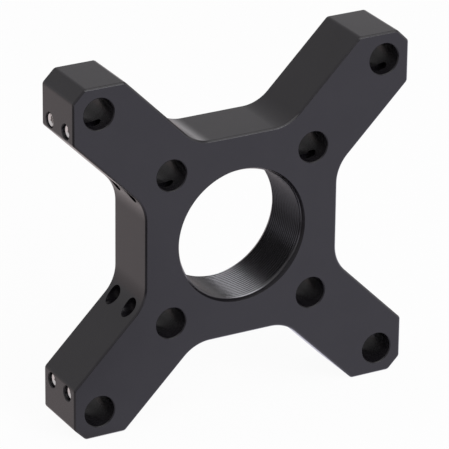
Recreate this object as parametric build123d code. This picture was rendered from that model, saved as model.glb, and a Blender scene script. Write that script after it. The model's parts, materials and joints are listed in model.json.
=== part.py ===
from build123d import *
import math
import os

# An optical cage plate: one milled plate with a threaded centre bore, eight rod bores on two
# squares, and two socket set screws to grip each rod. Millimetres, +Z up. The optical axis lies
# along Y, the front face looks to -Y, and the origin is the middle of the plate on that axis.

# Rod bores: two squares of four, for a large and a small cage, the inner half the outer
ROD_SPACING = 60.0
ROD_RADIUS = 3.0
ROD_CLEARANCE = 0.05
ROD_BORE_SINK = 0.18

# The plate, whose side faces stand a fixed distance outside the outer rods' axes
ROD_TO_SIDE = 5.3
THICKNESS = 12.7
ARM_WIDTH = 15.1
NOTCH_SPAN = 40.8
NOTCH_ROUND = 7.7
CORNER_CUT = 2.45
CORNER_ROUND = 1.0
EDGE_BREAK = 0.36

# Centre bore: the wall is the thread's major radius, and its crests are left off
BORE_RADIUS = 13.145
BORE_SINK = 0.355
BORE_SINK_DEPTH = 0.6

# Set screws and their tapped holes. Along a hole, distances are measured from the rod's axis
# outwards, towards the side that the screw enters from.
SCREW_RADIUS = 1.40
SCREW_CLEARANCE = 0.03
SCREW_LENGTH = 2.38
SOCKET_ACROSS_FLATS = 1.27
SOCKET_DEPTH = 1.1
SCREW_SPACING = 6.4
SCREW_TO_ROD = 3.6
SCREW_HOLE_END = -0.3
MOUTH_SINK = 0.2
ACCESS_RADIUS = 1.64
ACCESS_END = 5.0
INNER_TIP = 2.5

# How deep the socket end of each outer screw stands below the plate's side face
OUTER_RECESS = {
    ("upper", "front"): 0.58,
    ("upper", "back"): 0.30,
    ("lower", "front"): 0.74,
    ("lower", "back"): 0.63,
}

# Blind tapped hole for a post, in the middle of the lower notch
POST_RADIUS = 2.08
POST_TAP_DEPTH = 4.8
POST_DRILL_RADIUS = 1.73
POST_DRILL_DEPTH = 5.3
POST_DRILL_ANGLE = 118.0
POST_SINK = 0.3

# Worked out from the driving dimensions
HALF = ROD_SPACING / 2 + ROD_TO_SIDE
HALF_THICKNESS = THICKNESS / 2
NOTCH = NOTCH_SPAN / 2
SIDE_OFFSET = ARM_WIDTH / math.sqrt(2)
TAP_RADIUS = SCREW_RADIUS + SCREW_CLEARANCE

ROD_PLACES = {"outer": ROD_SPACING / 2, "inner": ROD_SPACING / 4}
ROWS = {"upper": 1, "lower": -1}
SIDES = {"left": -1, "right": 1}
FACES = {"front": -1, "back": 1}


def arm_points(side, row):
    """Corners of one arm, from the notch above or below it to the notch beside it."""
    points = [
        (NOTCH - SIDE_OFFSET, NOTCH),
        (HALF - SIDE_OFFSET, HALF),
        (HALF - CORNER_CUT, HALF),
        (HALF, HALF - CORNER_CUT),
        (HALF, HALF - SIDE_OFFSET),
        (NOTCH, NOTCH - SIDE_OFFSET),
    ]
    placed = [(side * x, row * z) for x, z in points]
    return placed if side == row else placed[::-1]


def plate_outline():
    """The X-shaped outline, with its notches and corners rounded."""
    points = arm_points(1, 1) + arm_points(1, -1) + arm_points(-1, -1) + arm_points(-1, 1)
    outline = make_face(Polyline(*points, close=True))
    in_notch = [v for v in outline.vertices() if min(abs(v.X), abs(v.Y)) < NOTCH / 2 + 1]
    outline = fillet(in_notch, NOTCH_ROUND)
    sharp = [v for v in outline.vertices() if min(abs(v.X), abs(v.Y)) > NOTCH]
    return fillet(sharp, CORNER_ROUND)


def blank():
    """The plate before drilling, with the edges of both faces broken."""
    plate = extrude(Plane.XZ * plate_outline(), HALF_THICKNESS, both=True)
    rims = [e for e in plate.edges() if abs(abs(e.center().Y) - HALF_THICKNESS) < 1e-3]
    return chamfer(rims, EDGE_BREAK)


def through_bore(radius, sink, depth):
    """Cutter along Y for a hole through the plate, countersunk at both faces."""
    edge = HALF_THICKNESS
    profile = Polyline(
        (0, -edge),
        (radius + sink, -edge),
        (radius, depth - edge),
        (radius, edge - depth),
        (radius + sink, edge),
        (0, edge),
        close=True,
    )
    return revolve(make_face(profile), Axis.Y)


def screw_hole(mouth):
    """Cutter along X for a set screw, with the rod's axis at x = 0 and its mouth outwards."""
    bottom = [(SCREW_HOLE_END, TAP_RADIUS), (SCREW_HOLE_END, 0)]
    profile = Polyline(*(mouth + bottom), close=True)
    return revolve(make_face(profile), Axis.X)


def outer_screw_hole():
    """Screw hole that opens on the plate's side face, with a countersunk mouth."""
    face = ROD_TO_SIDE
    return screw_hole([(face, 0), (face, TAP_RADIUS + MOUTH_SINK), (face - MOUTH_SINK, TAP_RADIUS)])


def inner_screw_hole():
    """Screw hole that opens on an arm's slanted flank, with a wider access hole before it."""
    outside = SIDE_OFFSET - SCREW_TO_ROD + 2 * ACCESS_RADIUS
    return screw_hole(
        [
            (outside, 0),
            (outside, ACCESS_RADIUS),
            (ACCESS_END, ACCESS_RADIUS),
            (ACCESS_END, TAP_RADIUS),
        ]
    )


def post_hole():
    """Cutter for the blind tapped hole that opens downwards in the lower notch."""
    drill_tip = POST_DRILL_RADIUS / math.tan(math.radians(POST_DRILL_ANGLE / 2))
    profile = Polyline(
        (0, 0),
        (POST_RADIUS + POST_SINK, 0),
        (POST_RADIUS, POST_SINK),
        (POST_RADIUS, POST_TAP_DEPTH),
        (POST_DRILL_RADIUS, POST_TAP_DEPTH),
        (POST_DRILL_RADIUS, POST_DRILL_DEPTH),
        (0, POST_DRILL_DEPTH + drill_tip),
        close=True,
    )
    cutter = revolve(make_face(profile), Axis.Y)
    return Pos(0, 0, -NOTCH) * Rot(90, 0, 0) * cutter


def screw_place(ring, row, side, face):
    """Place for a screw or its hole: x = 0 on the rod's axis, x growing to the plate's side."""
    rod = ROD_PLACES[ring]
    turn = Rot(0, 0, 0 if side == "right" else 180)
    across = FACES[face] * SCREW_SPACING / 2
    return Pos(SIDES[side] * rod, across, ROWS[row] * (rod - SCREW_TO_ROD)) * turn


def screw_tip(ring, row, face):
    """Distance from the rod's axis to the tip of a screw at rest, clear of the rod bore."""
    if ring == "inner":
        return INNER_TIP
    return ROD_TO_SIDE - OUTER_RECESS[row, face] - SCREW_LENGTH


def set_screw():
    """Socket set screw along X, with its tip at x = 0 and its hexagon socket at the far end."""
    screw = extrude(Plane.YZ * Circle(SCREW_RADIUS), SCREW_LENGTH)
    hexagon = RegularPolygon(SOCKET_ACROSS_FLATS / 2, 6, major_radius=False)
    mouth = Plane(origin=(SCREW_LENGTH, 0, 0), z_dir=(-1, 0, 0))
    return screw - extrude(mouth * hexagon, SOCKET_DEPTH)


def each_screw():
    """Every set screw's ring, row, side and face."""
    for ring in ROD_PLACES:
        for row in ROWS:
            for side in SIDES:
                for face in FACES:
                    yield ring, row, side, face


def plate():
    """The finished plate."""
    body = blank() - through_bore(BORE_RADIUS, BORE_SINK, BORE_SINK_DEPTH)
    rod_bore = through_bore(ROD_RADIUS + ROD_CLEARANCE, ROD_BORE_SINK, ROD_BORE_SINK)
    for place in ROD_PLACES.values():
        for side in SIDES.values():
            for row in ROWS.values():
                body -= Pos(side * place, 0, row * place) * rod_bore
    screw_holes = {"outer": outer_screw_hole(), "inner": inner_screw_hole()}
    for ring, row, side, face in each_screw():
        body -= screw_place(ring, row, side, face) * screw_holes[ring]
    return body - post_hole()


def write(node, shape):
    """Write one sub-part as parts/NODE.step."""
    export_step(shape, os.path.join("parts", node + ".step"))


os.makedirs("parts", exist_ok=True)
write("cage_plate", plate())
for ring, row, side, face in each_screw():
    screw = Pos(screw_tip(ring, row, face), 0, 0) * set_screw()
    write(f"set_screw_{ring}_{row}_{side}_{face}", screw_place(ring, row, side, face) * screw)
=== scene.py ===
import json
import math

import bmesh
import bpy
from mathutils import Matrix, Vector

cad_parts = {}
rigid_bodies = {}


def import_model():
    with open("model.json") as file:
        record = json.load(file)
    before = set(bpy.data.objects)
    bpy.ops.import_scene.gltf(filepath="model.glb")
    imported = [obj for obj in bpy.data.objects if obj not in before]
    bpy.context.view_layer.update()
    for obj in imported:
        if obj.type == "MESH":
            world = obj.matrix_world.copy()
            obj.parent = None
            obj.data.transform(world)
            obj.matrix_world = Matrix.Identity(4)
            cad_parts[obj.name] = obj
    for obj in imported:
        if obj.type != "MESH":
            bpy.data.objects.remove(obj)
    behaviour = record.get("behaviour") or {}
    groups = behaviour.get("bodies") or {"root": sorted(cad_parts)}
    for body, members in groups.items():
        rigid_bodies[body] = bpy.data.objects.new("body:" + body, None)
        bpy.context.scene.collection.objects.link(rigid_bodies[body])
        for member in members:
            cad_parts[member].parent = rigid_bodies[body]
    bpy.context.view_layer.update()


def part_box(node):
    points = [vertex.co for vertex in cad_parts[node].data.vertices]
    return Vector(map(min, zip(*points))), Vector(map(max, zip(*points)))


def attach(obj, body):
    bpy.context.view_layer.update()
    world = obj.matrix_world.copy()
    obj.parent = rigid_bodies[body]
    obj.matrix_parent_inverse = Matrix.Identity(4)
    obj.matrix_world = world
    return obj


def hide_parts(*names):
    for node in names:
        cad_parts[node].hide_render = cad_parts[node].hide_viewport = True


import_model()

# The plate, in millimetres: X to the right, Y along the optical axis, Z up, front face to -Y
MM = 0.001
ROD_SPACING = 60.0
ROD_TO_SIDE = 5.3
THICKNESS = 12.7
ARM_WIDTH = 15.1
NOTCH_SPAN = 40.8
NOTCH_ROUND = 7.7
CORNER_CUT = 2.45
CORNER_ROUND = 1.0
EDGE_BREAK = 0.32
EDGE_SOFTNESS = 0.07
ROD_BORE = 3.05
ROD_BORE_SINK = 0.18
BORE = 13.145
BORE_SINK = 0.355
BORE_SINK_DEPTH = 0.6

# The centre bore's fine thread: its ridge's crest, the half widths of its crest and its foot,
# how deep the foot lies in the wall, and how far from the faces the thread starts and ends
FINE_PITCH = 0.635
BORE_CREST = 12.92
BORE_HALF_CREST = 0.15
BORE_HALF_FOOT = 0.31
BORE_BURIED = 0.06
BORE_THREAD_MARGIN = 0.32

# Set screws' holes, measured outwards from the rod's axis
TAP_RADIUS = 1.43
TAP_END = 1.3
DRILL_RADIUS = 1.13
DRILL_END = -2.0
DRILL_TIP = 0.65
MOUTH_SINK = 0.2
ACCESS_RADIUS = 1.64
ACCESS_END = 5.0
SCREW_SPACING = 6.4
SCREW_TO_ROD = 3.6

# Set screws, measured from the tip: a cupped point, a threaded shank and a dished socket end
SCREW_RADIUS = 1.40
SCREW_ROOT = 1.13
SCREW_LENGTH = 2.38
CUP_DEPTH = 0.22
CUP_RADIUS = 0.50
POINT_RADIUS = 0.82
POINT_CONE = 0.28
POINT_STEP = 0.02
POINT_END = 0.36
POINT_THREAD_RADIUS = 0.86
SOCKET_END_RADIUS = 1.20
SOCKET_END_SPREAD = 0.05
SOCKET_END_NECK = 0.20
SOCKET_END_CHAMFER = 0.07
SOCKET_ACROSS_FLATS = 1.27
SOCKET_DEPTH = 1.1
DISH_RADIUS = 1.17
DISH_DEPTH = 0.62
SCREW_HALF_CREST = 0.04
SCREW_HALF_FOOT = 0.28
SCREW_BURIED = 0.06
SCREW_THREAD_MARGIN = 0.30
SCREW_THREAD_LEAST = 0.6

# Post hole under the lower notch
POST_RADIUS = 2.08
POST_CREST = 1.76
POST_HALF_CREST = 0.1
POST_HALF_FOOT = 0.37
POST_BURIED = 0.05
POST_PITCH = 0.794
POST_TAP_DEPTH = 4.8
POST_THREAD_MARGIN = 0.4
POST_DRILL_RADIUS = 1.73
POST_DRILL_DEPTH = 5.3
POST_DRILL_TIP = 1.04
POST_SINK = 0.3

# Worked out from the sizes above
HALF = ROD_SPACING / 2 + ROD_TO_SIDE
FACE = THICKNESS / 2
NOTCH = NOTCH_SPAN / 2
SIDE_OFFSET = ARM_WIDTH / math.sqrt(2)
ROD_PLACES = {"outer": ROD_SPACING / 2, "inner": ROD_SPACING / 4}
ROWS = {"upper": 1, "lower": -1}
SIDES = {"left": -1, "right": 1}
FACES = {"front": -1, "back": 1}

# Cutters run well past the surface that they open on. Near a mouth their points lie a hair
# inside its edge, or stand a little proud of the surface and flare, so no two faces meet flat.
OVERSHOOT = 1.0
HAIR = 0.01
PROUD = 0.02
BORE_FLARE = 0.08
HOLE_FLARE = 0.1
LIP_ROUND = 0.06

# Steps in a full turn of each round shape, and in a rounded corner or lip
BORE_STEPS = 160
ROD_BORE_STEPS = 72
SCREW_HOLE_STEPS = 40
POST_HOLE_STEPS = 56
SCREW_STEPS = 48
BORE_THREAD_STEPS = 120
POST_THREAD_STEPS = 48
SCREW_THREAD_STEPS = 40
CORNER_STEPS = 10
LIP_STEPS = 3

AXIS_Y = Vector((0, 1, 0))
SHARP_ANGLE = math.radians(26)
NORMAL_WEIGHT = 60
SAME_HEIGHT = 1e-4
WELD_DISTANCE = 1e-5

# The plate's finishes, in the order of its material slots, and those of a thread; the plate's second is
# a painted edge highlight
BLASTED, EDGE_HIGHLIGHT, BORED, TAPPED = range(4)
# A thread's flanks take a painted sheen and its crests painted shade, which draw its lines
FLANK, CREST = range(2)


# Mesh helpers

def rounded(corners, radii, steps, closed=True):
    """A flat outline whose corners are arcs of the given radii; a radius of 0 keeps the corner."""
    count = len(corners)
    outline = []
    for i, (corner, radius) in enumerate(zip(corners, radii)):
        here = Vector(corner)
        if radius == 0 or (not closed and i in (0, count - 1)):
            outline.append(here)
            continue
        back = (Vector(corners[i - 1]) - here).normalized()
        ahead = (Vector(corners[(i + 1) % count]) - here).normalized()
        half_angle = math.acos(max(-1.0, min(1.0, back.dot(ahead)))) / 2
        centre = here + (back + ahead).normalized() * (radius / math.sin(half_angle))
        start = here + back * (radius / math.tan(half_angle)) - centre
        turn = start.angle_signed(here + ahead * (radius / math.tan(half_angle)) - centre)
        for k in range(steps + 1):
            spoke = start.copy()
            spoke.rotate(Matrix.Rotation(-turn * k / steps, 2))
            outline.append(centre + spoke)
    return outline


def new_mesh(name, bm, finish=None):
    """Turn a finished bmesh, in millimetres, into a mesh, with one finish on all its faces."""
    if finish is not None:
        for face in bm.faces:
            face.material_index = finish
    mesh = bpy.data.meshes.new(name)
    bm.to_mesh(mesh)
    bm.free()
    return mesh


def new_object(name, data):
    """Put a mesh, a lamp or a camera in the scene."""
    obj = bpy.data.objects.new(name, data)
    bpy.context.scene.collection.objects.link(obj)
    return obj


def turned(name, profile, steps, place=Matrix.Identity(4), finish=None):
    """A solid of revolution about Y, from (radius, y) points that start and end on the axis."""
    bm = bmesh.new()
    verts = [bm.verts.new((radius, y, 0)) for radius, y in profile]
    edges = [bm.edges.new(pair) for pair in zip(verts, verts[1:])]
    bmesh.ops.spin(
        bm, geom=verts + edges, cent=(0, 0, 0), axis=AXIS_Y, dvec=(0, 0, 0),
        angle=math.tau, steps=steps, use_merge=True, use_duplicate=False,
    )
    bmesh.ops.remove_doubles(bm, verts=bm.verts, dist=WELD_DISTANCE)
    bmesh.ops.recalc_face_normals(bm, faces=bm.faces)
    bm.transform(place)
    return new_mesh(name, bm, finish)


def helix_ridge(section, start, pitch, turns, steps_per_turn, limit):
    """A screw thread's ridge about Y: a closed (radius, y) section swept upwards from y = start.

    limit(y) gives the least and greatest radius that the ridge may reach at a height.
    """
    bm = bmesh.new()
    verts = [bm.verts.new((radius, start + y, 0)) for radius, y in section]
    cap = bm.faces.new(verts)
    steps = round(turns * steps_per_turn)
    bmesh.ops.spin(
        bm, geom=[cap], cent=(0, 0, 0), axis=AXIS_Y,
        dvec=AXIS_Y * (pitch / steps_per_turn), angle=math.tau * steps / steps_per_turn,
        steps=steps, use_merge=False, use_duplicate=False,
    )
    for vert in bm.verts:
        radius = math.hypot(vert.co.x, vert.co.z)
        low, high = limit(vert.co.y)
        scale = max(low, min(high, radius)) / radius
        vert.co.x *= scale
        vert.co.z *= scale
    bmesh.ops.recalc_face_normals(bm, faces=bm.faces)
    return bm


def cut(name, body, cutters):
    """The body's mesh with every cutter's mesh taken out of it; a cutter's faces keep their finish."""
    for mesh in cutters:
        for material in body.materials:
            mesh.materials.append(material)
    tools = bpy.data.collections.new(name + "_cutters")
    bpy.context.scene.collection.children.link(tools)
    for mesh in cutters:
        tools.objects.link(bpy.data.objects.new(mesh.name, mesh))
    target = new_object(name, body)
    boolean = target.modifiers.new("cut", "BOOLEAN")
    boolean.operation = "DIFFERENCE"
    boolean.solver = "EXACT"
    boolean.operand_type = "COLLECTION"
    boolean.collection = tools
    graph = bpy.context.evaluated_depsgraph_get()
    result = bpy.data.meshes.new_from_object(target.evaluated_get(graph))
    for obj in [target, *tools.objects]:
        bpy.data.objects.remove(obj)
    bpy.data.collections.remove(tools)
    return result


def finish_piece(name, mesh, body, material=None, replaced=None):
    """Place a mesh made in millimetres as a piece that rides on a body of the frame."""
    mesh.transform(Matrix.Scale(MM, 4))
    mesh.shade_smooth()
    mesh.set_sharp_from_angle(angle=SHARP_ANGLE)
    if material:
        mesh.materials.append(material)
    piece = new_object(name, mesh)
    even = piece.modifiers.new("even_normals", "WEIGHTED_NORMAL")
    even.keep_sharp = True
    even.weight = NORMAL_WEIGHT
    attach(piece, body)
    if replaced:
        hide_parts(replaced)
    return piece


# The plate

def arm_corners(side, row):
    """Corners of one arm, from the notch above or below it to the notch beside it."""
    corners = [
        (NOTCH - SIDE_OFFSET, NOTCH, NOTCH_ROUND),
        (HALF - SIDE_OFFSET, HALF, CORNER_ROUND),
        (HALF - CORNER_CUT, HALF, CORNER_ROUND),
        (HALF, HALF - CORNER_CUT, CORNER_ROUND),
        (HALF, HALF - SIDE_OFFSET, CORNER_ROUND),
        (NOTCH, NOTCH - SIDE_OFFSET, NOTCH_ROUND),
    ]
    placed = [(side * x, row * z, radius) for x, z, radius in corners]
    return placed if side == row else placed[::-1]


def level_edges(bm):
    """The edges that lie in a plane parallel to the plate's faces."""
    return [e for e in bm.edges if abs(e.verts[0].co.y - e.verts[1].co.y) < SAME_HEIGHT]


def plate_blank():
    """The X-shaped block with both faces' edges broken and softened, the softened faces in a lighter
    colour that is a painted edge highlight.
    """
    corners = arm_corners(1, 1) + arm_corners(1, -1) + arm_corners(-1, -1) + arm_corners(-1, 1)
    outline = rounded([c[:2] for c in corners], [c[2] for c in corners], CORNER_STEPS)
    bm = bmesh.new()
    face = bm.faces.new([bm.verts.new((x, -FACE, z)) for x, z in outline])
    top = bmesh.ops.extrude_face_region(bm, geom=[face])["geom"]
    moved = [v for v in top if isinstance(v, bmesh.types.BMVert)]
    bmesh.ops.translate(bm, verts=moved, vec=AXIS_Y * THICKNESS)
    bmesh.ops.recalc_face_normals(bm, faces=bm.faces)
    bmesh.ops.bevel(
        bm, geom=level_edges(bm), offset=EDGE_BREAK, offset_type="OFFSET", affect="EDGES",
        segments=1, profile=0.5, material=-1,
    )
    softened = bmesh.ops.bevel(
        bm, geom=level_edges(bm), offset=EDGE_SOFTNESS, offset_type="OFFSET", affect="EDGES",
        segments=2, profile=0.5, material=-1,
    )
    for face in softened["faces"]:
        face.material_index = EDGE_HIGHLIGHT
    return new_mesh("blank", bm)


def through_cutter(name, radius, sink, depth, steps):
    """Cutter along Y for a through hole whose two mouths are countersunk with soft lips."""
    end = FACE + OVERSHOOT
    half = [
        (radius, 0, 0),
        (radius, FACE - depth, LIP_ROUND),
        (radius + sink - HAIR, FACE - HAIR, LIP_ROUND),
        (radius + sink + BORE_FLARE, FACE + PROUD, 0),
        (radius + sink + BORE_FLARE, end, 0),
        (0, end, 0),
    ]
    ring = rounded([p[:2] for p in half], [p[2] for p in half], LIP_STEPS, closed=False)
    mirrored = [(r, -y) for r, y in reversed(ring[1:])]
    return turned(name, mirrored + [tuple(p) for p in ring[1:]], steps, finish=BORED)


def along_x(side, place):
    """Turns a cutter or screw about Y so that its y points outwards along X at a place."""
    turn = Matrix.Rotation(-math.pi / 2 * side, 4, "Z")
    return Matrix.Translation(place) @ turn


def screw_place(ring, row, side, face):
    """Point on the screw's axis beside the rod's axis."""
    rod = ROD_PLACES[ring]
    across = FACES[face] * SCREW_SPACING / 2
    return Vector((SIDES[side] * rod, across, ROWS[row] * (rod - SCREW_TO_ROD)))


def screw_cutter(ring, row, side, face):
    """Cutter for one tapped screw hole: mouth, thread and the drilled end beyond the rod bore."""
    if ring == "outer":
        lip = TAP_RADIUS + MOUTH_SINK
        mouth = [
            (0, ROD_TO_SIDE + OVERSHOOT),
            (lip + HOLE_FLARE, ROD_TO_SIDE + OVERSHOOT),
            (lip + HOLE_FLARE, ROD_TO_SIDE + PROUD),
            (lip - HAIR, ROD_TO_SIDE - HAIR),
            (TAP_RADIUS, ROD_TO_SIDE - MOUTH_SINK),
        ]
    else:
        outside = SIDE_OFFSET - SCREW_TO_ROD + 2 * ACCESS_RADIUS
        mouth = [
            (0, outside),
            (ACCESS_RADIUS, outside),
            (ACCESS_RADIUS, ACCESS_END),
            (TAP_RADIUS, ACCESS_END),
        ]
    bottom = [
        (TAP_RADIUS, TAP_END),
        (DRILL_RADIUS, TAP_END - (TAP_RADIUS - DRILL_RADIUS)),
        (DRILL_RADIUS, DRILL_END),
        (0, DRILL_END - DRILL_TIP),
    ]
    cutter = turned("screw_hole", mouth + bottom, SCREW_HOLE_STEPS, finish=TAPPED)
    for polygon in cutter.polygons:
        if ring == "inner" and polygon.center.y > ACCESS_END:
            polygon.material_index = BORED
    cutter.transform(along_x(SIDES[side], screw_place(ring, row, side, face)))
    return cutter


def into_post_hole():
    """Turns a cutter or thread about Y so that its y points upwards from the lower notch."""
    return Matrix.Translation((0, 0, -NOTCH)) @ Matrix.Rotation(math.pi / 2, 4, "X")


def post_cutter():
    """Cutter for the tapped post hole that opens downwards in the lower notch."""
    profile = [
        (0, -OVERSHOOT),
        (POST_RADIUS + POST_SINK + HOLE_FLARE, -OVERSHOOT),
        (POST_RADIUS + POST_SINK + HOLE_FLARE, -PROUD),
        (POST_RADIUS + POST_SINK - HAIR, HAIR),
        (POST_RADIUS, POST_SINK),
        (POST_RADIUS, POST_TAP_DEPTH),
        (POST_DRILL_RADIUS, POST_TAP_DEPTH),
        (POST_DRILL_RADIUS, POST_DRILL_DEPTH),
        (0, POST_DRILL_DEPTH + POST_DRILL_TIP),
    ]
    return turned("post_hole", profile, POST_HOLE_STEPS, into_post_hole(), finish=BORED)


def each_screw():
    """Every set screw's ring, row, side and face."""
    for ring in ROD_PLACES:
        for row in ROWS:
            for side in SIDES:
                for face in FACES:
                    yield ring, row, side, face


def plate_mesh(finishes):
    """The plate with its bores, screw holes and post hole."""
    blank = plate_blank()
    for material in finishes:
        blank.materials.append(material)
    centre = through_cutter("centre_bore", BORE, BORE_SINK, BORE_SINK_DEPTH, BORE_STEPS)
    bores = [centre, post_cutter()]
    for place in ROD_PLACES.values():
        for side in SIDES.values():
            for row in ROWS.values():
                bore = through_cutter("rod_bore", ROD_BORE, ROD_BORE_SINK, ROD_BORE_SINK, ROD_BORE_STEPS)
                bore.transform(Matrix.Translation((side * place, 0, row * place)))
                bores.append(bore)
    drilled = cut("plate_bored", blank, bores)
    return cut("plate_tapped", drilled, [screw_cutter(*key) for key in each_screw()])


# Threads

def hole_ridge(wall, buried, crest, half_foot, half_crest):
    """The (radius, y) section of the ridge of a hole's thread, whose foot lies inside the wall."""
    foot = wall + buried
    return [(foot, -half_foot), (crest, -half_crest), (crest, half_crest), (foot, half_foot)]


def crests_apart(mesh, radius, finishes):
    """Give a thread about Y two finishes: a painted sheen on its flanks, painted shade on its crests of
    a given radius.
    """
    for material in finishes:
        mesh.materials.append(material)
    for polygon in mesh.polygons:
        corners = [mesh.vertices[i].co for i in polygon.vertices]
        reach = max(math.hypot(corner.x, corner.z) for corner in corners)
        polygon.material_index = CREST if reach < radius + HAIR else FLANK
    return mesh


def centre_thread_mesh(finishes):
    """The fine thread in the centre bore, cut back by the mouths' chamfers."""
    section = hole_ridge(BORE, BORE_BURIED, BORE_CREST, BORE_HALF_FOOT, BORE_HALF_CREST)
    start = BORE_THREAD_MARGIN - FACE
    turns = (THICKNESS - 2 * BORE_THREAD_MARGIN) / FINE_PITCH

    def limit(y):
        cone = BORE + BORE_SINK * (1 - (FACE - abs(y)) / BORE_SINK_DEPTH) + HAIR
        return cone, max(cone, BORE + BORE_BURIED)

    ridge = helix_ridge(section, start, FINE_PITCH, turns, BORE_THREAD_STEPS, limit)
    return crests_apart(new_mesh("centre_thread", ridge), BORE_CREST, finishes)


def post_thread_mesh():
    """The thread in the post hole."""
    section = hole_ridge(POST_RADIUS, POST_BURIED, POST_CREST, POST_HALF_FOOT, POST_HALF_CREST)
    turns = (POST_TAP_DEPTH - POST_THREAD_MARGIN) / POST_PITCH

    def limit(y):
        cone = POST_RADIUS + POST_SINK - y + PROUD
        return cone, max(cone, POST_RADIUS + POST_BURIED)

    ridge = helix_ridge(section, 0.0, POST_PITCH, turns, POST_THREAD_STEPS, limit)
    ridge.transform(into_post_hole())
    return new_mesh("post_thread", ridge)


# Set screws

def set_screw_mesh():
    """A threaded set screw along Y, with its tip at y = 0 and its hexagon socket at the top.

    Its points keep how far they lie from the axis, for the rings on its ends.
    """
    core_profile = [
        (0, CUP_DEPTH),
        (CUP_RADIUS, 0.0),
        (POINT_RADIUS, 0.0),
        (SCREW_ROOT - POINT_STEP, POINT_CONE),
        (SCREW_ROOT, POINT_END),
        (SCREW_ROOT, SCREW_LENGTH - SOCKET_END_NECK),
        (SOCKET_END_RADIUS + SOCKET_END_SPREAD, SCREW_LENGTH - SOCKET_END_CHAMFER),
        (SOCKET_END_RADIUS, SCREW_LENGTH),
        (0, SCREW_LENGTH),
    ]
    core = turned("core", core_profile, SCREW_STEPS)
    socket_radius = SOCKET_ACROSS_FLATS / math.sqrt(3)
    socket = bmesh.new()
    bmesh.ops.create_cone(
        socket, cap_ends=True, segments=6, radius1=socket_radius, radius2=socket_radius,
        depth=2 * SOCKET_DEPTH,
        matrix=Matrix.Translation((0, SCREW_LENGTH, 0)) @ Matrix.Rotation(math.pi / 2, 4, "X"),
    )
    dish_profile = [
        (0, SCREW_LENGTH - DISH_DEPTH),
        (DISH_RADIUS, SCREW_LENGTH + PROUD),
        (0, SCREW_LENGTH + PROUD),
    ]
    dish = turned("dish", dish_profile, SCREW_STEPS)
    body = cut("screw_body", core, [new_mesh("socket", socket), dish])

    def limit(y):
        point = POINT_THREAD_RADIUS + y
        socket_end = SOCKET_END_RADIUS + (SCREW_LENGTH - y)
        return SCREW_THREAD_LEAST, min(SCREW_RADIUS, point, socket_end)

    section = [
        (SCREW_ROOT - SCREW_BURIED, -SCREW_HALF_FOOT),
        (SCREW_ROOT - SCREW_BURIED, SCREW_HALF_FOOT),
        (SCREW_RADIUS, SCREW_HALF_CREST),
        (SCREW_RADIUS, -SCREW_HALF_CREST),
    ]
    turns = (SCREW_LENGTH - 2 * SCREW_THREAD_MARGIN) / FINE_PITCH
    ridge = helix_ridge(section, SCREW_THREAD_MARGIN, FINE_PITCH, turns, SCREW_THREAD_STEPS, limit)
    whole = bmesh.new()
    whole.from_mesh(body)
    whole.from_mesh(new_mesh("ridge", ridge))
    mesh = new_mesh("set_screw", whole)
    from_axis = mesh.attributes.new("from_axis", "FLOAT", "POINT")
    for vert, item in zip(mesh.vertices, from_axis.data):
        item.value = math.hypot(vert.co.x, vert.co.z)
    return mesh


# Shader nodes

def add_node(tree, kind, inputs=None, **settings):
    """Add a shader node; each input is a number or colour, or the socket that feeds it."""
    node = tree.nodes.new(kind)
    for label, value in settings.items():
        setattr(node, label, value)
    for label, value in (inputs or {}).items():
        if isinstance(value, bpy.types.NodeSocket):
            tree.links.new(value, node.inputs[label])
        else:
            node.inputs[label].default_value = value
    return node


def maths(tree, operation, first, second, use_clamp=False):
    """A Math node's result."""
    inputs = {0: first, 1: second}
    return add_node(tree, "ShaderNodeMath", inputs, operation=operation, use_clamp=use_clamp).outputs[0]


def vector_maths(tree, operation, inputs, result="Vector"):
    """A Vector Math node's result."""
    return add_node(tree, "ShaderNodeVectorMath", inputs, operation=operation).outputs[result]


def mixed(tree, factor, first, second, data_type="RGBA", blend_type="MIX"):
    """A blend of two colours, or of two numbers where the data type is FLOAT."""
    inputs = {"Factor": factor, "A": first, "B": second}
    node = add_node(tree, "ShaderNodeMix", inputs, data_type=data_type, blend_type=blend_type)
    return node.outputs["Result"]


def ramp(tree, value, start, end, low=0.0, high=1.0):
    """A smooth step from low to high as a value goes from start to end."""
    inputs = {"Value": value, "From Min": start, "From Max": end, "To Min": low, "To Max": high}
    node = add_node(tree, "ShaderNodeMapRange", inputs, interpolation_type="SMOOTHSTEP")
    return node.outputs["Result"]


def object_place(tree):
    """The shaded point in the object's own coordinates."""
    return add_node(tree, "ShaderNodeTexCoord").outputs["Object"]


def node_group(name, inputs, outputs):
    """An empty shader node group with named sockets, and its two end nodes."""
    group = bpy.data.node_groups.new(name, "ShaderNodeTree")
    for label, kind, value in inputs:
        group.interface.new_socket(label, in_out="INPUT", socket_type=kind).default_value = value
    for label, kind in outputs:
        group.interface.new_socket(label, in_out="OUTPUT", socket_type=kind)
    return group, group.nodes.new("NodeGroupInput"), group.nodes.new("NodeGroupOutput")


# Materials

MICRON = 1e-6
NOISE_ROUGHNESS = 0.6
GRAIN_DETAIL = 2.0
MOTTLE_DETAIL = 3.0

# How much the grain counts beside the mottling, and where the blend of both turns over
GRAIN_SHARE = 0.35
TONE_START = 0.3
TONE_END = 0.7

# Heights in microns of the tapped holes' grooves and of the rings on the screws' ends, whose
# spacing is in millimetres
THREAD_RELIEF = 90.0
RING_SPACING = 0.035
RING_RELIEF = 1.2

BLACK = (0.0084, 0.0075, 0.0095)
WORN_BLACK = (0.0112, 0.0101, 0.0123)
# Lighter colour of the softened edges: a painted edge highlight
EDGE_HIGHLIGHT_BLACK = (0.018, 0.0165, 0.018)
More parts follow.
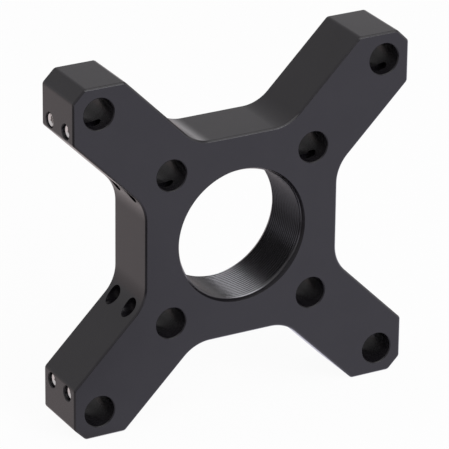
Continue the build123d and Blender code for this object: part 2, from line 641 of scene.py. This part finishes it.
# The thread's colours: the lighter flanks are a painted sheen, the darker crests painted shade
PAINTED_SHEEN_BLACK = (0.019, 0.0175, 0.020)
WORN_PAINTED_SHEEN_BLACK = (0.024, 0.0225, 0.025)
PAINTED_SHADE_BLACK = (0.003, 0.0027, 0.0034)
WORN_PAINTED_SHADE_BLACK = (0.004, 0.0036, 0.0045)
STEEL = (0.80, 0.785, 0.775)
BRIGHT_STEEL = (0.86, 0.85, 0.84)


def surface_grain_group():
    """Fine grain and broad mottling, both from 0 to 1, with sizes in millimetres.

    Stretch multiplies the pattern's fineness along X, Y and Z, for marks that run one way.
    """
    group, given, result = node_group(
        "surface_grain",
        [
            ("Grain Size", "NodeSocketFloat", 0.12),
            ("Mottle Size", "NodeSocketFloat", 6.0),
            ("Stretch", "NodeSocketVector", (1, 1, 1)),
        ],
        [("Grain", "NodeSocketFloat"), ("Mottle", "NodeSocketFloat")],
    )
    in_mm = vector_maths(group, "SCALE", {0: object_place(group), "Scale": 1 / MM})
    stretched = vector_maths(group, "MULTIPLY", {0: in_mm, 1: given.outputs["Stretch"]})
    for label, source, detail in (
        ("Grain", stretched, GRAIN_DETAIL),
        ("Mottle", in_mm, MOTTLE_DETAIL),
    ):
        fineness = maths(group, "DIVIDE", 1.0, given.outputs[label + " Size"])
        noise = add_node(
            group, "ShaderNodeTexNoise",
            {"Vector": source, "Scale": fineness, "Detail": detail, "Roughness": NOISE_ROUGHNESS},
        )
        group.links.new(noise.outputs["Fac"], result.inputs[label])
    return group


def two_tone_group():
    """A colour and a roughness that shift together between two finishes, and flecks of grain."""
    group, given, result = node_group(
        "two_tone",
        [
            ("Colour A", "NodeSocketColor", (0, 0, 0, 1)),
            ("Colour B", "NodeSocketColor", (0, 0, 0, 1)),
            ("Roughness A", "NodeSocketFloat", 0.2),
            ("Roughness B", "NodeSocketFloat", 0.25),
            ("Grain", "NodeSocketFloat", 0.5),
            ("Mottle", "NodeSocketFloat", 0.5),
        ],
        [("Colour", "NodeSocketColor"), ("Roughness", "NodeSocketFloat")],
    )
    take = given.outputs
    blend = mixed(group, GRAIN_SHARE, take["Mottle"], take["Grain"], "FLOAT")
    share = ramp(group, blend, TONE_START, TONE_END)
    colour = mixed(group, share, take["Colour A"], take["Colour B"])
    roughness = mixed(group, share, take["Roughness A"], take["Roughness B"], "FLOAT")
    group.links.new(colour, result.inputs["Colour"])
    group.links.new(roughness, result.inputs["Roughness"])
    return group


def grained(
    name, grain_size, mottle_size, colours, roughnesses, height,
    stretch=(1, 1, 1), relief=None, metallic=0.0, specular=0.5,
):
    """A material with grained colour, roughness and relief; sizes in mm, the height in microns.

    relief(tree) gives the height, in microns, of a further pattern of tool marks.
    """
    material = bpy.data.materials.new(name)
    material.use_nodes = True
    tree = material.node_tree
    shader = tree.nodes["Principled BSDF"]
    shader.inputs["Metallic"].default_value = metallic
    shader.inputs["Specular IOR Level"].default_value = specular
    grain = add_node(
        tree, "ShaderNodeGroup",
        {"Grain Size": grain_size, "Mottle Size": mottle_size, "Stretch": stretch},
        node_tree=surface_grain,
    )
    tone = add_node(
        tree, "ShaderNodeGroup",
        {
            "Colour A": (*colours[0], 1), "Colour B": (*colours[1], 1),
            "Roughness A": roughnesses[0], "Roughness B": roughnesses[1],
            "Grain": grain.outputs["Grain"], "Mottle": grain.outputs["Mottle"],
        },
        node_tree=two_tone,
    )
    tree.links.new(tone.outputs["Colour"], shader.inputs["Base Color"])
    tree.links.new(tone.outputs["Roughness"], shader.inputs["Roughness"])
    total = maths(tree, "MULTIPLY", grain.outputs["Grain"], height)
    if relief:
        total = maths(tree, "ADD", total, relief(tree))
    bump = add_node(tree, "ShaderNodeBump", {"Height": total, "Distance": MICRON, "Strength": 1.0})
    tree.links.new(bump.outputs["Normal"], shader.inputs["Normal"])
    return material


def thread_relief(tree):
    """Height in microns of a screw thread's V-shaped grooves along X."""
    along = add_node(tree, "ShaderNodeSeparateXYZ", {"Vector": object_place(tree)}).outputs["X"]
    turns = maths(tree, "MULTIPLY", along, 1 / (FINE_PITCH * MM))
    wave = maths(tree, "PINGPONG", turns, 0.5)
    return maths(tree, "MULTIPLY", wave, 2 * THREAD_RELIEF)


def ring_relief(tree):
    """Height in microns of the rings that facing leaves round a screw's own axis."""
    from_axis = add_node(tree, "ShaderNodeAttribute", attribute_name="from_axis").outputs["Fac"]
    noise = add_node(
        tree, "ShaderNodeTexNoise", {"W": from_axis, "Scale": 1 / RING_SPACING, "Detail": GRAIN_DETAIL},
        noise_dimensions="1D",
    ).outputs["Fac"]
    return maths(tree, "MULTIPLY", noise, RING_RELIEF)


surface_grain = surface_grain_group()
two_tone = two_tone_group()
blasted = grained(
    "anodised_blasted", grain_size=0.10, mottle_size=7.0, colours=(BLACK, WORN_BLACK),
    roughnesses=(0.185, 0.225), height=3.0,
)
# The softened edges' finish, whose lighter colour is a painted edge highlight
painted_edge_finish = grained(
    "anodised_painted_edge_highlight", grain_size=0.06, mottle_size=1.4, colours=(WORN_BLACK, EDGE_HIGHLIGHT_BLACK),
    roughnesses=(0.20, 0.26), height=2.0,
)
bored = grained(
    "anodised_bored", grain_size=0.5, mottle_size=2.5, colours=(BLACK, WORN_BLACK),
    roughnesses=(0.22, 0.30), height=4.0, stretch=(0.3, 9.0, 0.3), specular=0.3,
)
tapped = grained(
    "anodised_tapped", grain_size=0.08, mottle_size=1.0, colours=(BLACK, WORN_BLACK),
    roughnesses=(0.24, 0.34), height=3.0, relief=thread_relief,
)
# The thread's flanks, lighter and more glossy, a painted sheen; its crests, darker and barely glossy,
# painted shade
threaded = grained(
    "anodised_flank_painted_sheen", grain_size=0.3, mottle_size=4.0, colours=(PAINTED_SHEEN_BLACK, WORN_PAINTED_SHEEN_BLACK),
    roughnesses=(0.20, 0.23), height=1.5, specular=0.9,
)
crested = grained(
    "anodised_crest_painted_shade", grain_size=0.3, mottle_size=4.0,
    colours=(PAINTED_SHADE_BLACK, WORN_PAINTED_SHADE_BLACK), roughnesses=(0.18, 0.21), height=1.0, specular=0.04,
)
steel = grained(
    "stainless_steel", grain_size=0.09, mottle_size=0.8, colours=(STEEL, BRIGHT_STEEL),
    roughnesses=(0.17, 0.27), height=0.8, relief=ring_relief, metallic=1.0,
)

# Build the pieces
finish_piece(
    "plate", plate_mesh((blasted, painted_edge_finish, bored, tapped)), "plate",
    replaced="cage_plate",
)
finish_piece("centre_thread", centre_thread_mesh((threaded, crested)), "plate")
# The post thread takes the flanks' painted sheen on all its faces
finish_piece("post_thread", post_thread_mesh(), "plate", threaded)

screw_master = set_screw_mesh()
for ring, row, side, face in each_screw():
    name = f"set_screw_{ring}_{row}_{side}_{face}"
    low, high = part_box(name)
    tip = (low.x if side == "right" else high.x) / MM
    middle = (low + high) / 2 / MM
    mesh = screw_master.copy()
    mesh.transform(along_x(SIDES[side], Vector((tip, middle.y, middle.z))))
    body = f"screw_{ring}_{row}_{side}_{face}"
    finish_piece("dressed_" + name, mesh, body, steel, name)
bpy.data.meshes.remove(screw_master)


# Floor and surroundings, in metres

WHITE = (1, 1, 1, 1)
FLOOR_RADIUS = 4.0
FLOOR_STEPS = 96
FLOOR_GAP = 0.00005
FLOOR_GREY = (0.9, 0.9, 0.9, 1)
FLOOR_SELF_LIT = 0.95

# Painted reflection: reflections see the floor warm at the left and behind, and cool at the right and
# in front, by how far a point lies along this direction
TINT_DIRECTION = (1, -1.6, 0)
TINT_START = -0.034
TINT_END = -0.008
WARM_PAINTED_REFLECTION = (0.64, 0.57, 0.575, 1)
COOL_PAINTED_REFLECTION = (0.95, 0.93, 1.08, 1)

# Reflections see a painted shadow, a shaded oval on the floor: its middle, how much longer it is
# along X than along Y, the reach of its darkest part and of its rim, and its least brightness
OVAL_X = -0.105
OVAL_Y = -0.085
OVAL_STRETCH = 1.3
OVAL_CORE = 0.030
OVAL_RIM = 0.106
OVAL_LEVEL = 0.05

WORLD_LIGHT = 0.5
WORLD_TINT = (1.0, 0.975, 1.0, 1)
LOW_LEFT = (-1, 0, -0.5)
LOW_RIGHT = (1, 0, -1)


def ray_kinds(tree):
    """1 for camera, glossy and transmission rays, which see the surroundings as white, else 0.

    The second output is 1 for camera rays alone.
    """
    path = add_node(tree, "ShaderNodeLightPath")
    total = path.outputs["Is Camera Ray"]
    for label in ("Is Glossy Ray", "Is Transmission Ray"):
        total = maths(tree, "ADD", total, path.outputs[label], use_clamp=True)
    return total, path.outputs["Is Camera Ray"]


def white_floor():
    """A white floor that keeps a trace of the plate's shadow, and is open when seen from below.

    Reflections show it with a painted reflection, warm at the left and behind, cool elsewhere, and a
    painted shadow at the front left.
    """
    bm = bmesh.new()
    bmesh.ops.create_circle(bm, cap_ends=True, segments=FLOOR_STEPS, radius=FLOOR_RADIUS)
    bmesh.ops.translate(bm, verts=bm.verts, vec=(0, 0, -HALF * MM - FLOOR_GAP))
    mesh = new_mesh("floor", bm)
    material = bpy.data.materials.new("white_floor")
    material.use_nodes = True
    tree = material.node_tree
    shader = tree.nodes["Principled BSDF"]
    shader.inputs["Base Color"].default_value = FLOOR_GREY
    shader.inputs["Roughness"].default_value = 1.0
    seen_white, camera_ray = ray_kinds(tree)

    place = object_place(tree)
    across = vector_maths(tree, "DOT_PRODUCT", {0: place, 1: TINT_DIRECTION}, "Value")
    tint = mixed(tree, ramp(tree, across, TINT_START, TINT_END), WARM_PAINTED_REFLECTION, COOL_PAINTED_REFLECTION)
    squeezed = vector_maths(tree, "MULTIPLY", {0: place, 1: (1 / OVAL_STRETCH, 1, 1)})
    middle = (OVAL_X / OVAL_STRETCH, OVAL_Y, -HALF * MM)
    distance = vector_maths(tree, "DISTANCE", {0: squeezed, 1: middle}, "Value")
    # Painted shadow on the floor, seen only in reflections
    shade = ramp(tree, distance, OVAL_CORE, OVAL_RIM, OVAL_LEVEL, 1.0)
    reflected = mixed(tree, 1.0, tint, shade, blend_type="MULTIPLY")
    glow = add_node(tree, "ShaderNodeEmission", {"Color": mixed(tree, camera_ray, reflected, WHITE)})
    share = maths(tree, "MULTIPLY", seen_white, FLOOR_SELF_LIT)
    top = add_node(
        tree, "ShaderNodeMixShader", {"Fac": share, 1: shader.outputs[0], 2: glow.outputs[0]},
    )
    underside = add_node(tree, "ShaderNodeBsdfTransparent")
    facing = add_node(tree, "ShaderNodeNewGeometry").outputs["Backfacing"]
    surface = add_node(
        tree, "ShaderNodeMixShader", {"Fac": facing, 1: top.outputs[0], 2: underside.outputs[0]},
    )
    tree.links.new(surface.outputs[0], tree.nodes["Material Output"].inputs["Surface"])
    mesh.materials.append(material)
    new_object("floor", mesh)


def studio_world():
    """White behind the plate.

    Reflections show it white low on the right, a lighter grey low on the left, and grey elsewhere.
    """
    world = bpy.data.worlds.new("studio")
    bpy.context.scene.world = world
    world.use_nodes = True
    tree = world.node_tree
    background = tree.nodes["Background"]
    direction = add_node(tree, "ShaderNodeTexCoord").outputs["Generated"]

    def part_towards(aim, start, end, low, high):
        dot = vector_maths(tree, "DOT_PRODUCT", {0: direction, 1: aim}, "Value")
        return ramp(tree, dot, start, end, low, high)

    low_left = part_towards(LOW_LEFT, start=0.10, end=0.30, low=0.48, high=0.58)
    low_right = part_towards(LOW_RIGHT, start=0.05, end=0.55, low=0.0, high=1.0)
    shade = mixed(tree, low_right, low_left, 1.0, "FLOAT")
    seen_white, camera_ray = ray_kinds(tree)
    reflected = mixed(tree, seen_white, WORLD_LIGHT, shade, "FLOAT")
    strength = mixed(tree, camera_ray, reflected, 1.0, "FLOAT")
    tree.links.new(strength, background.inputs["Strength"])
    tree.links.new(mixed(tree, camera_ray, WORLD_TINT, WHITE), background.inputs["Color"])


# Lamps and camera

# The camera: angles in degrees, lengths in millimetres, how far its axis passes from the plate's
# middle, and its clipping in metres
CAMERA_AZIMUTH = -28.862
CAMERA_ELEVATION = 23.771
CAMERA_ROLL = 0.618
CAMERA_DISTANCE = 754.3
CAMERA_ACROSS = -0.302
CAMERA_UP = -0.288
SENSOR_WIDTH = 36.0
FOCAL_LENGTH = 320.8
CLIP_START = 0.05
CLIP_END = 50.0

CARD_BLACK = (0.01, 0.01, 0.01, 1)
COOL_LIGHT = (0.97, 0.97, 1.04)


def towards(azimuth, elevation):
    """Unit vector from the plate; azimuth 0 is the front, and a negative one lies to the left."""
    around, above = math.radians(azimuth), math.radians(elevation)
    return Vector((
        math.sin(around) * math.cos(above),
        -math.cos(around) * math.cos(above),
        math.sin(above),
    ))


def studio_place(azimuth, elevation, distance):
    """A point round the plate, and the turn that aims -Z from there at the plate."""
    place = distance * towards(azimuth, elevation)
    return place, (-place).to_track_quat("-Z", "Y")


def dark_card(name, azimuth, elevation, distance, width, height):
    """A black card out of sight that gives the glossy edges something dark to show."""
    place, turn = studio_place(azimuth, elevation, distance)
    bm = bmesh.new()
    bmesh.ops.create_grid(bm, x_segments=1, y_segments=1, size=0.5)
    bmesh.ops.scale(bm, verts=bm.verts, vec=(width, height, 1))
    bm.transform(Matrix.Translation(place) @ turn.to_matrix().to_4x4())
    card = new_object(name, new_mesh(name, bm))
    card.visible_camera = False
    material = bpy.data.materials.new(name)
    material.use_nodes = True
    shader = material.node_tree.nodes["Principled BSDF"]
    shader.inputs["Base Color"].default_value = CARD_BLACK
    shader.inputs["Roughness"].default_value = 1.0
    card.data.materials.append(material)


def soft_box(name, azimuth, elevation, distance, width, height, brightness, colour=(1, 1, 1)):
    """A soft box aimed at the plate; a brightness of 1 looks white."""
    place, turn = studio_place(azimuth, elevation, distance)
    data = bpy.data.lights.new(name, "AREA")
    data.shape = "RECTANGLE"
    data.size = width
    data.size_y = height
    data.energy = brightness * math.pi * width * height
    data.color = colour
    obj = new_object(name, data)
    obj.location = place
    obj.rotation_euler = turn.to_euler()


def camera():
    """The photograph's view: a long lens from the front left, above the plate."""
    roll = math.radians(CAMERA_ROLL)
    back = towards(CAMERA_AZIMUTH, CAMERA_ELEVATION)
    level = Vector((0, 0, 1)).cross(back).normalized()
    upright = back.cross(level)
    right = level * math.cos(roll) + upright * math.sin(roll)
    top = upright * math.cos(roll) - level * math.sin(roll)
    place = (back * CAMERA_DISTANCE + right * CAMERA_ACROSS + top * CAMERA_UP) * MM
    data = bpy.data.cameras.new("camera")
    data.sensor_width = SENSOR_WIDTH
    data.lens = FOCAL_LENGTH
    data.clip_start = CLIP_START
    data.clip_end = CLIP_END
    obj = new_object("camera", data)
    turn = Matrix((right, top, back)).transposed().to_4x4()
    obj.matrix_world = Matrix.Translation(place) @ turn
    bpy.context.scene.camera = obj


white_floor()
studio_world()
dark_card("camera_side", azimuth=-20, elevation=10, distance=1.2, width=0.75, height=0.75)
soft_box(
    "key_box", azimuth=20, elevation=30, distance=1.0, width=0.45, height=0.45,
    brightness=5.5, colour=COOL_LIGHT,
)
soft_box(
    "top_box", azimuth=10, elevation=58, distance=1.0, width=1.2, height=0.5, brightness=1.2,
)
camera()
bpy.context.scene.view_settings.view_transform = "Standard"
